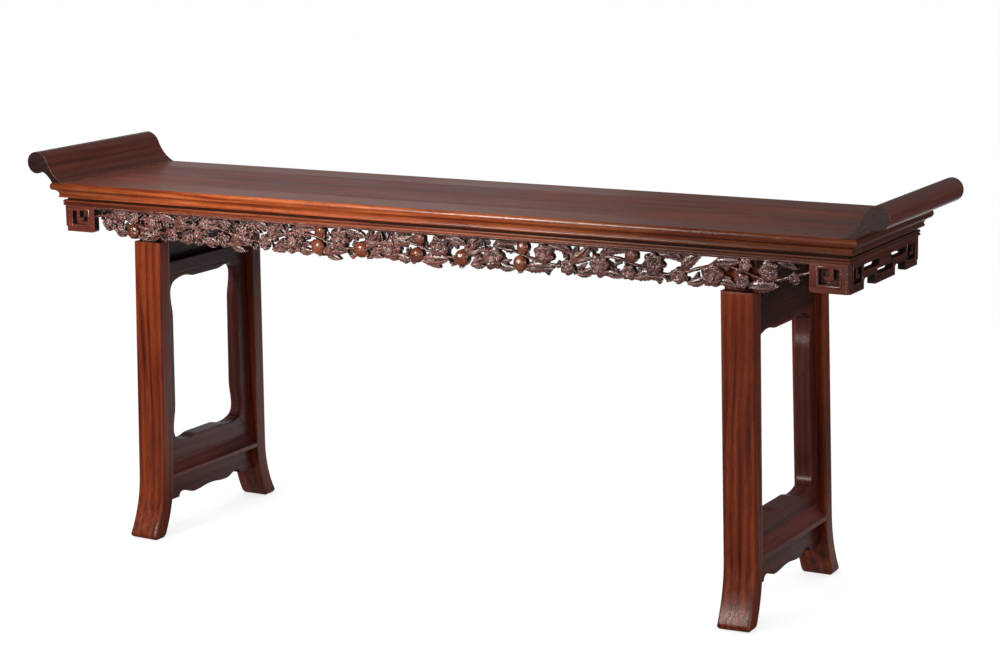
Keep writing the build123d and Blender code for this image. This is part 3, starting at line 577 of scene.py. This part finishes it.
# a closed round boss; outline and height are functions of the bearing and of the share of the radius
def addDisc(relief, centre, radius, angle, outline, height, rim, back, rings, spokes):
    bearings = np.arange(spokes) * 2 * pi / spokes
    reach = radius * outline(bearings)
    points = [np.array([[0.0, 0.0, rim + radius * float(height(np.array([0.0]), np.array([0.0]))[0])]])]
    for ring in range(1, rings + 1):
        share = sin(pi / 2 * ring / rings) if ring < rings else 1.0
        out = rim + radius * height(np.full(spokes, share), bearings)
        points.append(np.stack([reach * share * np.cos(bearings), reach * share * np.sin(bearings), out], axis=-1))
    foot = points[-1].copy()
    foot[:, 2] = back
    points += [foot, np.array([[0.0, 0.0, back]])]
    faces = []
    for step in range(spokes):
        after = (step + 1) % spokes
        faces.append((0, 1 + after, 1 + step))
        for ring in range(rings):
            near = 1 + ring * spokes
            faces.append((near + step, near + after, near + spokes + after, near + spokes + step))
        last = 1 + rings * spokes
        faces.append((last + step, last + after, last + spokes))
    relief.add(setOnBoard(np.concatenate(points), centre, angle), faces)


# a closed branch along a path of (x, z) with a radius at each point; its middle lies this far out
def addBranch(relief, path, radii, depth, out, sides):
    path = np.array(path)
    radii = np.array(radii)
    ahead = np.gradient(path, axis=0)
    ahead /= np.linalg.norm(ahead, axis=1)[:, None]
    aside = np.stack([-ahead[:, 1], ahead[:, 0]], axis=-1)
    turns = np.arange(sides) * 2 * pi / sides
    flat = path[:, None, :] + aside[:, None, :] * (radii[:, None] * np.cos(turns))[..., None]
    deep = out + (depth * radii / radii.max())[:, None] * np.sin(turns)
    points = np.stack([flat[..., 0], -deep, flat[..., 1]], axis=-1).reshape(-1, 3)
    faces = []
    for row in range(len(path) - 1):
        for side in range(sides):
            after = (side + 1) % sides
            near = row * sides
            faces.append((near + side, near + after, near + sides + after, near + sides + side)[::-1])
    faces.append(tuple(range(sides)))
    faces.append(tuple((len(path) - 1) * sides + side for side in reversed(range(sides))))
    relief.add(points, faces)


# 0 to 1 along a leaf or petal, and -1 to 1 across it
def shares(rows, columns):
    return np.linspace(0.0, 1.0, rows)[:, None], np.linspace(-1.0, 1.0, columns)[None, :]


# a leaf with a sunken midrib, side veins and a toothed edge
def addLeaf(relief, centre, length, angle, out, back, draw, rows=15, columns=7, width=leaf["width"]):
    u, v = shares(rows, columns)
    teeth = 1 + leaf["teeth"] * (np.arange(rows) % 2)[:, None] * (u > 0.1) * (u < 0.95)
    half = 0.5 * width * length * np.sin(pi * np.clip(u * 0.92 + 0.05, 0, 1) ** 0.8) ** 0.75 * teeth
    bow = draw.uniform(-leaf["bow"], leaf["bow"]) * length
    along = (u - 0.5) * length + 0 * v
    across = half * v + bow * np.sin(pi * u)
    belly = leaf["belly"] * length * np.cos(v * pi / 2) ** 0.6 * np.sin(pi * np.clip(u, 0.06, 1) ** 0.7)
    rib = -leaf["rib"] * length * np.exp(-(v / 0.22) ** 2) * np.sin(pi * u) ** 0.5
    veins = leaf["veins"] * length * np.cos(2 * pi * (u * (rows - 1) / 2 - np.abs(v) * 0.6)) * np.sin(pi * u)
    lift = draw.uniform(0.0, leaf["lift"]) * length * (u - 0.4)
    front = np.stack([along, across, out + belly + rib + veins + lift], axis=-1)
    addShell(relief, front, back, centre, angle)


# one petal: a soft pad that is low at the heart, with a groove along it; cup lifts its tip
def addPetal(relief, centre, length, angle, out, back, cup, width, rows, columns):
    u, v = shares(rows, columns)
    half = 0.5 * width * length * np.sin(pi * (0.08 + 0.84 * u ** 1.4)) ** 0.7
    along = length * (0.06 + 0.94 * u * (1 - 0.12 * u ** 3 * np.exp(-(v / 0.35) ** 2)) - 0.08 * u * v ** 2)
    pad = 0.30 * np.sin(pi * (0.05 + 0.80 * u)) - 0.18 * np.abs(v) ** 2.5
    groove = 0.07 * np.exp(-(v / 0.28) ** 2) * np.sin(pi * u)
    front = np.stack([along + 0 * v, half * v, out + length * (pad - groove + cup * u ** 2)], axis=-1)
    addShell(relief, front, back, centre, angle)


# layers of petals round a crown; one that isn't fine has fewer faces and slimmer petals
def addBlossom(relief, centre, radius, angle, out, back, draw, petals, layers, fine=True):
    rows, columns = (8, 7) if fine else (6, 5)
    spread = 1.5 if fine else 1.25
    for layer in range(layers):
        length = radius * (1.0 - 0.30 * layer)
        lift = out - 0.20 * radius + layer * 0.12 * radius
        for petal in range(petals):
            turn = angle + 360 * (petal + 0.5 * layer) / petals + draw.uniform(-5, 5)
            foot = back if layer == 0 else out - 0.35 * radius
            share = draw.uniform(0.92, 1.04)
            addPetal(relief, centre, length * share, turn, lift + draw.uniform(0, 0.06) * radius, foot,
                     0.05 + 0.12 * layer, spread * sin(pi / petals), rows, columns)

    def crown(share, bearing):
        return 0.8 * np.sqrt(np.clip(1 - 0.8 * share ** 2, 0, 1)) + 0.2 * np.cos(6 * bearing) * share

    addDisc(relief, centre, (0.17 if fine else 0.15) * radius, angle, lambda bearing: 1 + 0 * bearing, crown,
            out - 0.16 * radius + 0.08 * layers * radius, out - 0.35 * radius, 3 if fine else 2, 12 if fine else 8)


# small blossoms in a ring, each set a step less deep than the last
def addPosy(relief, centre, radius, angle, posy, draw):
    for step in range(posy["count"]):
        spot = spotFrom(centre, posy["ring"] * radius, angle + 360 / posy["count"] * step)
        addBlossom(relief, spot, posy["size"] * radius, angle + posy["twist"] * step,
                   carving["face"] - draw.uniform(*posy["sunk"]), carving["back"] + posy["step"] * step,
                   draw, 5, 1, False)


# a grooved fruit with a tuft of petals at its tip
def addFruit(relief, centre, radius, angle, out, back):
    def skin(share, bearing):
        groove = 0.10 * np.exp(-((np.mod(bearing, 2 * pi) - pi) / 0.35) ** 2) * share * (1 - share)
        return 0.62 * np.sqrt(np.clip(1 - share ** 2, 0, 1)) - 2.0 * groove

    addDisc(relief, centre, radius, angle, lambda bearing: 1 + 0.03 * np.cos(2 * bearing), skin, out, back, 8, 26)
    tip = spotFrom(centre, 0.93 * radius, angle)
    for step in range(5):
        addPetal(relief, tip, 0.34 * radius, angle - 60 + 30 * step, out + 0.10 * radius, out - 0.3 * radius,
                 0.3, 0.8, 4, 3)


# a seed head: a dome covered in a spiral of small knobs
def addPod(relief, centre, radius, angle, out, back):
    def skin(share, bearing):
        knobs = 0.09 * np.cos(9 * bearing + 7 * share) * np.cos(11 * share) * np.clip(1 - share ** 4, 0, 1)
        return 0.50 * np.sqrt(np.clip(1 - share ** 2, 0, 1)) + knobs

    addDisc(relief, centre, radius, angle, lambda bearing: 1 + 0.04 * np.cos(9 * bearing), skin, out, back, 9, 36)


def addBud(relief, centre, radius, angle, out, back):
    def skin(share, bearing):
        return 0.7 * np.sqrt(np.clip(1 - share ** 2, 0, 1)) - 0.10 * share * np.abs(np.sin(1.5 * bearing))

    addDisc(relief, centre, radius, angle, lambda bearing: 1 + 0.12 * np.cos(bearing), skin, out, back, 4, 12)


def vineUp(share):
    return carving["vineMiddle"] + carving["vineWave"] * sin(2 * pi * share)


# the vine runs the whole length of the board, with a knot at every ninth point
def addVine(relief, draw):
    path, radii = [], []
    steps, most = 26, carving["halfLength"] - 0.0005
    for step in range(steps * carving["sprigs"] + 1):
        share = step / steps
        x, z = boardPlace(0, share, vineUp(share))
        x = min(max(x, -most), most)
        knot = 0.35 if step % 9 == 4 else 0.0
        path.append((x, z + draw.uniform(-0.0012, 0.0012)))
        radii.append(carving["vineRadius"] * (0.85 + knot + draw.uniform(-0.1, 0.1)))
    addBranch(relief, path, radii, carving["vineDepth"], carving["vineOut"], 10)


def addTwig(relief, start, end, draw):
    bend = draw.uniform(-0.25, 0.25)
    run = (end[0] - start[0], end[1] - start[1])
    path, radii = [], []
    for step in range(6):
        share = step / 5
        sway = bend * sin(pi * share)
        path.append((start[0] + run[0] * share - run[1] * sway, start[1] + run[1] * share + run[0] * sway))
        radii.append(carving["twigRadius"] * (1.15 - 0.4 * share))
    addBranch(relief, path, radii, carving["twigDepth"], carving["twigOut"], 6)


def addTopBand(relief):
    half, top = carving["halfLength"], carving["top"]
    low = top - carving["band"]
    face, back = carving["face"], carving["back"]
    section = [(face - 0.0003, top), (face - 0.0003, low + 0.0015), (face - 0.0013, low), (back, low), (back, top)]
    points = np.array([(x, -out, z) for x in (-half, half) for out, z in section])
    size = len(section)
    faces = [(step, (step + 1) % size, size + (step + 1) % size, size + step) for step in range(size)]
    faces += [tuple(reversed(range(size))), tuple(range(size, 2 * size))]
    relief.add(points, faces)


# 1 at the left end of the table, 0 at the right: the carving is closest at the left
def closeness(x):
    return min(max(0.5 - 0.62 * x / carving["halfLength"], 0.0), 1.0)


# small blossoms, leaves and buds on twigs, wherever the sprig leaves room
def addFillers(relief, index, taken, draw):
    rows, columns = fillers["rows"], fillers["columns"]
    for row in range(rows):
        for column in range(columns):
            across = (column + 0.5 * (row % 2) + draw.uniform(0.1, 0.6)) / columns
            up = (row + 0.5 + draw.uniform(-0.22, 0.22)) / rows
            choice, chance = draw.random(), draw.random()
            x, z = boardPlace(index, across, up)
            scale = boardHeight(x)
            near = min(np.hypot(x - spot[0], z - spot[1]) - spot[2] for spot in taken)
            fill = fillers["right"] + (fillers["left"] - fillers["right"]) * closeness(x)
            size = draw.uniform(*fillers["size"]) * scale
            inside = min(max(z, boardBottom(x) + 0.75 * size), carving["top"] - 0.004 - 0.6 * size)
            angle = draw.uniform(0, 360)
            if near < -fillers["overlap"] or chance > fill or abs(x) > carving["halfLength"] - size:
                continue
            spot = (x, inside)
            anchor = min(taken, key=lambda other: np.hypot(x - other[0], z - other[1]))
            addTwig(relief, anchor, spot, draw)
            out = carving["face"] - draw.uniform(*fillers["sunk"])
            back = carving["back"] + draw.uniform(*fillers["foot"])
            least, more = fillers["blossoms"]
            if choice < least + more * closeness(x):
                addBlossom(relief, spot, size, angle, out, back, draw, 5, 1, False)
            elif choice < fillers["leaves"]:
                for turn in (0, 65):
                    addLeaf(relief, spot, 2.1 * size, angle + turn, out - 0.001, back, draw, 9, 5, 0.46)
            else:
                addBud(relief, spot, 0.55 * size, angle, out, back)


# taken lists what stands on the board so far: a spot and its radius
def addSprig(relief, fruits, index, draw):
    face, back = carving["face"], carving["back"]
    taken = []
    for across, up, size, turn in sprigBlossoms:
        x, z = boardPlace(index, across, up)
        radius = size * boardHeight(x)
        taken.append((x, z, 0.9 * radius))
        if closeness(x) > closenessFor["posies"]:
            addBlossom(relief, (x, z), 0.56 * radius, turn, face + standing["heart"], back, draw, 6, 2)
            addPosy(relief, (x, z), radius, turn, posies["blossom"], draw)
        else:
            addBlossom(relief, (x, z), radius, turn, face + standing["blossom"], back, draw, 5 + index % 3, 3)
    for order, (across, up, size) in enumerate(sprigFruits):
        x, z = boardPlace(index, across, up)
        radius = size * boardHeight(x) * 0.92
        taken.append((x, z, radius))
        turn = draw.uniform(-160, -20)
        close = closeness(x) > closenessFor["posies"]
        if close and (order + index) % 4:
            addPosy(relief, (x, z), radius, turn, posies["fruit"], draw)
        elif close or (order == 1 and index % 2):
            addPod(fruits, (x, z), radius, turn, face + standing["pod"], back)
        elif closeness(x) < closenessFor["fruits"]:
            addBlossom(relief, (x, z), 1.1 * radius, turn, face + standing["opened"], back, draw, 6, 2)
        else:
            addFruit(fruits, (x, z), radius, turn, face + standing["fruit"], back)
    for order, (across, up, size, turn) in enumerate(sprigLeaves):
        x, z = boardPlace(index, across, up)
        if abs(x) > carving["halfLength"] - 0.02:
            continue
        length = size * boardHeight(x)
        taken.append((x, z, 0.22 * length))
        foot = spotFrom((x, z), -0.35 * length, turn)
        three = closeness(x) > closenessFor["threeLeaflets"]
        for side, share in ((0, 1.0), (27, 0.74), (-29, 0.68)) if three else ((0, 1.0), (32, 0.66)):
            spot = spotFrom(foot, 0.35 * length * share, turn + side)
            addLeaf(relief, spot, length * share, turn + side, face + standing["leaf"] - 0.00004 * abs(side),
                    back + 0.0003 * order, draw)
    for share in (0.1, 0.3, 0.5, 0.7, 0.9):
        taken.append((*boardPlace(index, share, vineUp(share)), 0.004))
    addFillers(relief, index, taken, draw)


def makeCarvedAprons(groups):
    draw = random.Random(carving["seed"])
    relief, fruits = Relief(), Relief()
    addTopBand(relief)
    addVine(relief, draw)
    for index in range(carving["sprigs"]):
        addSprig(relief, fruits, index, draw)
    carved = makeWood("carvedWood", "x", groups, finishes["carving"], hollow=1.0, reach=0.018, endShade=0.15,
                      tooled=0.0016)
    # the fruits get their own finish, paler and more orange than the rest of the carving
    paler = makeWood("fruitWood", "x", groups, finishes["fruit"], hollow=0.9, reach=0.013, endShade=0.4)
    for side in ("front", "back"):
        piece = relief.build(side + "_carving", side == "back")
        paint(piece, carved)
        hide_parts(side + "_carved_apron")
        grown = fruits.build(side + "_carved_fruits", side == "back")
        paint(grown, paler)
        for part in (piece, grown):
            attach(part, "root")
    print("aprons carved,", len(relief.faces) + len(fruits.faces), "faces each")


# beads and sunk grounds of the square scrolls

# metres; gap is from an opening's edge to the middle of its bead, along is Y on an end and X on a long side
scroll = {"width": 0.0042, "rise": 0.0016, "gap": 0.0034, "face": 0.201, "endFace": 1.008, "back": 0.1832,
          "ground": 0.1868, "endGround": 0.9938, "endBack": 0.9902, "field": (0.940, 0.985, 0.749, 0.783),
          "endField": (0.133, 0.178, 0.749, 0.783), "window": (-0.0455, 0.0455, 0.750, 0.762),
          "cornerAt": 1.0034, "cornerLow": 0.744, "cornerHigh": 0.7935, "sideAt": 0.1925,
          "edge": [(0.1795, 0.7352), (0.1252, 0.7352), (0.1252, 0.7572), (0.0538, 0.7572), (0.0538, 0.7352)],
          "seed": 5, "groundColumns": 12, "groundRows": 9, "uneven": 0.0004}
# across and out, in shares of a bead's width and rise
beadSection = [(-0.5, -0.25), (-0.5, 0.1), (-0.36, 0.72), (0.0, 1.0), (0.36, 0.72), (0.5, 0.1), (0.5, -0.25)]


# a half-round bead along flat points (along, up); place turns (along, out, up) into the table's frame
def addBead(relief, path, closed, place):
    spots = [np.array(spot) for spot in path]
    count = len(spots)
    points = []
    for index, spot in enumerate(spots):
        before = spots[index - 1] if closed or index else None
        after = spots[(index + 1) % count] if closed or index < count - 1 else None
        runs = [(b - a) / np.linalg.norm(b - a) for a, b in ((before, spot), (spot, after))
                if a is not None and b is not None]
        asides = [np.array([-run[1], run[0]]) for run in runs]
        mitre = sum(asides) / (1 + float(np.dot(asides[0], asides[-1]))) if len(asides) == 2 else asides[0]
        for across, out in beadSection:
            flat = spot + mitre * across * scroll["width"]
            points.append(place(flat[0], out * scroll["rise"], flat[1]))
    size = len(beadSection)
    faces = []
    for index in range(count if closed else count - 1):
        near, far = index * size, (index + 1) % count * size
        for step in range(size):
            after = (step + 1) % size
            faces.append((near + step, near + after, far + after, far + step))
    if not closed:
        faces += [tuple(range(size)), tuple(range((count - 1) * size, count * size))]
    relief.add(np.array(points), faces)


def ringRound(field):
    low, high, bottom, top = field
    gap = scroll["gap"]
    return [(low - gap, bottom - gap), (high + gap, bottom - gap), (high + gap, top + gap), (low - gap, top + gap)]


# the tooled ground at the back of a sunk field: a closed sheet with a slightly uneven face
def addGround(relief, field, place, level, back, draw):
    low, high, bottom, top = field
    columns, rows, uneven = scroll["groundColumns"], scroll["groundRows"], scroll["uneven"]
    points, faces = [], []
    for row in range(rows + 1):
        for column in range(columns + 1):
            along = low + (high - low) * column / columns
            up = bottom + (top - bottom) * row / rows
            points.append(place(along, level + draw.uniform(-uneven, uneven), up))
    first = len(points)
    points += [place(along, back, up) for along, up in ((low, bottom), (high, bottom), (high, top), (low, top))]
    wide = columns + 1
    for row in range(rows):
        for column in range(columns):
            near = row * wide + column
            faces.append((near, near + 1, near + wide + 1, near + wide))
    rims = [[column for column in range(wide)], [row * wide + columns for row in range(rows + 1)],
            [rows * wide + column for column in range(columns, -1, -1)], [row * wide for row in range(rows, -1, -1)]]
    for side, rim in enumerate(rims):
        faces.append(tuple(rim) + (first + (side + 1) % 4, first + side))
    faces.append((first, first + 1, first + 2, first + 3))
    relief.add(np.array(points), faces)


# these two place (along, out, up), with out counted from level; the signs tell the sides apart
def onLongSide(toRight, toFront, level=0.0):
    return lambda along, out, up: (toRight * along, toFront * (level + out), up)


def onEndSide(toRight, toFront, level=0.0):
    return lambda along, out, up: (toRight * (level + out), toFront * along, up)


def makeScrollBeads(groups):
    draw = random.Random(scroll["seed"])
    beadWood = makeWood("scrollBeadWood", "x", groups, finishes["bracket"], hollow=0.7, reach=0.006)
    pieces = []
    for side, toFront in (("front", -1), ("back", 1)):
        for end, toRight in (("left", -1), ("right", 1)):
            relief = Relief()
            onFace = onLongSide(toRight, toFront, scroll["face"])
            addBead(relief, ringRound(scroll["field"]), True, onFace)
            for at, place in (("cornerAt", onFace), ("sideAt", onEndSide(toRight, toFront, scroll["endFace"]))):
                corner = [(scroll[at], scroll["cornerLow"]), (scroll[at], scroll["cornerHigh"])]
                addBead(relief, corner, False, place)
            if side == "front":
                inBoard = onLongSide(toRight, toFront)
                addGround(relief, scroll["field"], inBoard, scroll["ground"], scroll["back"], draw)
            pieces.append(relief.build(f"{side}_{end}_bracket_beads"))
    for end, toRight in (("left", -1), ("right", 1)):
        relief = Relief()
        onFace = onEndSide(toRight, 1, scroll["endFace"])
        low, high, bottom, top = scroll["endField"]
        for field in ((low, high, bottom, top), (-high, -low, bottom, top)):
            addBead(relief, ringRound(field), True, onFace)
            addGround(relief, field, onEndSide(toRight, 1), scroll["endGround"], scroll["endBack"], draw)
        addBead(relief, ringRound(scroll["window"]), True, onFace)
        mirrored = [(-along, up) for along, up in reversed(scroll["edge"])]
        addBead(relief, scroll["edge"] + mirrored, False, onFace)
        pieces.append(relief.build(f"{end}_end_apron_beads"))
    for piece in pieces:
        paint(piece, beadWood)
        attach(piece, "root")
    print("scroll beads laid on")


# floor and room

# reach and near in metres; white is how bright the paper looks, shade how much of the lamps' light shows on it,
# bounce the grey that the table sees, the contact share how dark the painted contact shadow gets within near of the
# table, and sheen how brightly the paper glows in what the wood mirrors of it, between these Y and X
paper = {"reach": 60.0, "white": 1.22, "shade": 0.2, "fibre": (0.86, 0.92), "fibreScale": 3.0, "bounce": 0.30,
         "contactShadow": 0.22, "near": 0.16, "sheen": 0.80, "sheenBack": (-0.3, 0.6), "sheenRight": (1.3, 0.7)}


# white paper for the camera, darkened by a painted contact shadow near the feet; the table itself sees a grey floor,
# except that in its mirror images a patch behind the table, away from its right end, glows as a painted reflection
# that gives the wood its sheen
def makeFloor():
    material, tree = startMaterial("floorPaper")
    rays = addNode(tree, "LightPath").outputs
    direct = rays["Is Camera Ray"]
    fibre = addNode(tree, "TexNoise", {"Scale": paper["fibreScale"], "Detail": 2.0})
    dark, light, grey = [(value,) * 3 for value in (*paper["fibre"], paper["bounce"])]
    pale = blendColour(tree, fibre.outputs[0], dark, light)
    matt = addNode(tree, "BsdfDiffuse", {"Color": blendColour(tree, direct, grey, pale)})
    # painted contact shadow: the paper that the camera sees darkens where the table stands close
    near = addNode(tree, "AmbientOcclusion", {"Distance": paper["near"]}, samples=8).outputs["AO"]
    paintedContactShadow = remap(tree, near, 0.2, 1.0, 1.0 - paper["contactShadow"], 1.0)
    spot = splitVector(tree, objectPlace(tree))
    # painted reflection: only glossy rays see the paper glow, and only behind the table and away from its right end
    behind = multiply(tree, remap(tree, spot[1], *paper["sheenBack"]), remap(tree, spot[0], *paper["sheenRight"]))
    mirrored = multiply(tree, rays["Is Glossy Ray"], behind)
    seen = multiply(tree, multiply(tree, paintedContactShadow, paper["white"]), direct)
    strength = calculate(tree, "MULTIPLY_ADD", mirrored, paper["sheen"], seen)
    glow = addNode(tree, "Emission", {"Color": (1, 1, 1, 1), "Strength": strength})
    share = calculate(tree, "MULTIPLY_ADD", direct, 1.0 - paper["shade"], mirrored)
    mixed = addNode(tree, "MixShader", {0: share, 1: matt.outputs[0], 2: glow.outputs[0]})
    addNode(tree, "OutputMaterial", {"Surface": mixed.outputs[0]})
    mesh = bpy.data.meshes.new("floor")
    reach = paper["reach"]
    mesh.from_pydata([(-reach, -reach, 0), (reach, -reach, 0), (reach, reach, 0), (-reach, reach, 0)],
                     [], [(0, 1, 2, 3)])
    floor = addObject("floor", mesh)
    paint(floor, material)
    print("floor laid")


def makeWorld():
    world = bpy.data.worlds.new("studio")
    bpy.context.scene.world = world
    world.use_nodes = True
    tree = world.node_tree
    tree.nodes.clear()
    direct = addNode(tree, "LightPath").outputs["Is Camera Ray"]
    strength = calculate(tree, "MULTIPLY_ADD", direct, surroundings["seen"] - surroundings["light"],
                         surroundings["light"])
    light = addNode(tree, "Background", {"Color": (1, 1, 1, 1), "Strength": strength})
    addNode(tree, "OutputWorld", {"Surface": light.outputs[0]})
    bpy.context.scene.view_settings.view_transform = "Standard"
    print("room set")


makeCamera()
makeLamps()
makeWorld()
makeFloor()
groups = makeGroups()
finishFrameNodes(groups)
makeCarvedAprons(groups)
makeScrollBeads(groups)
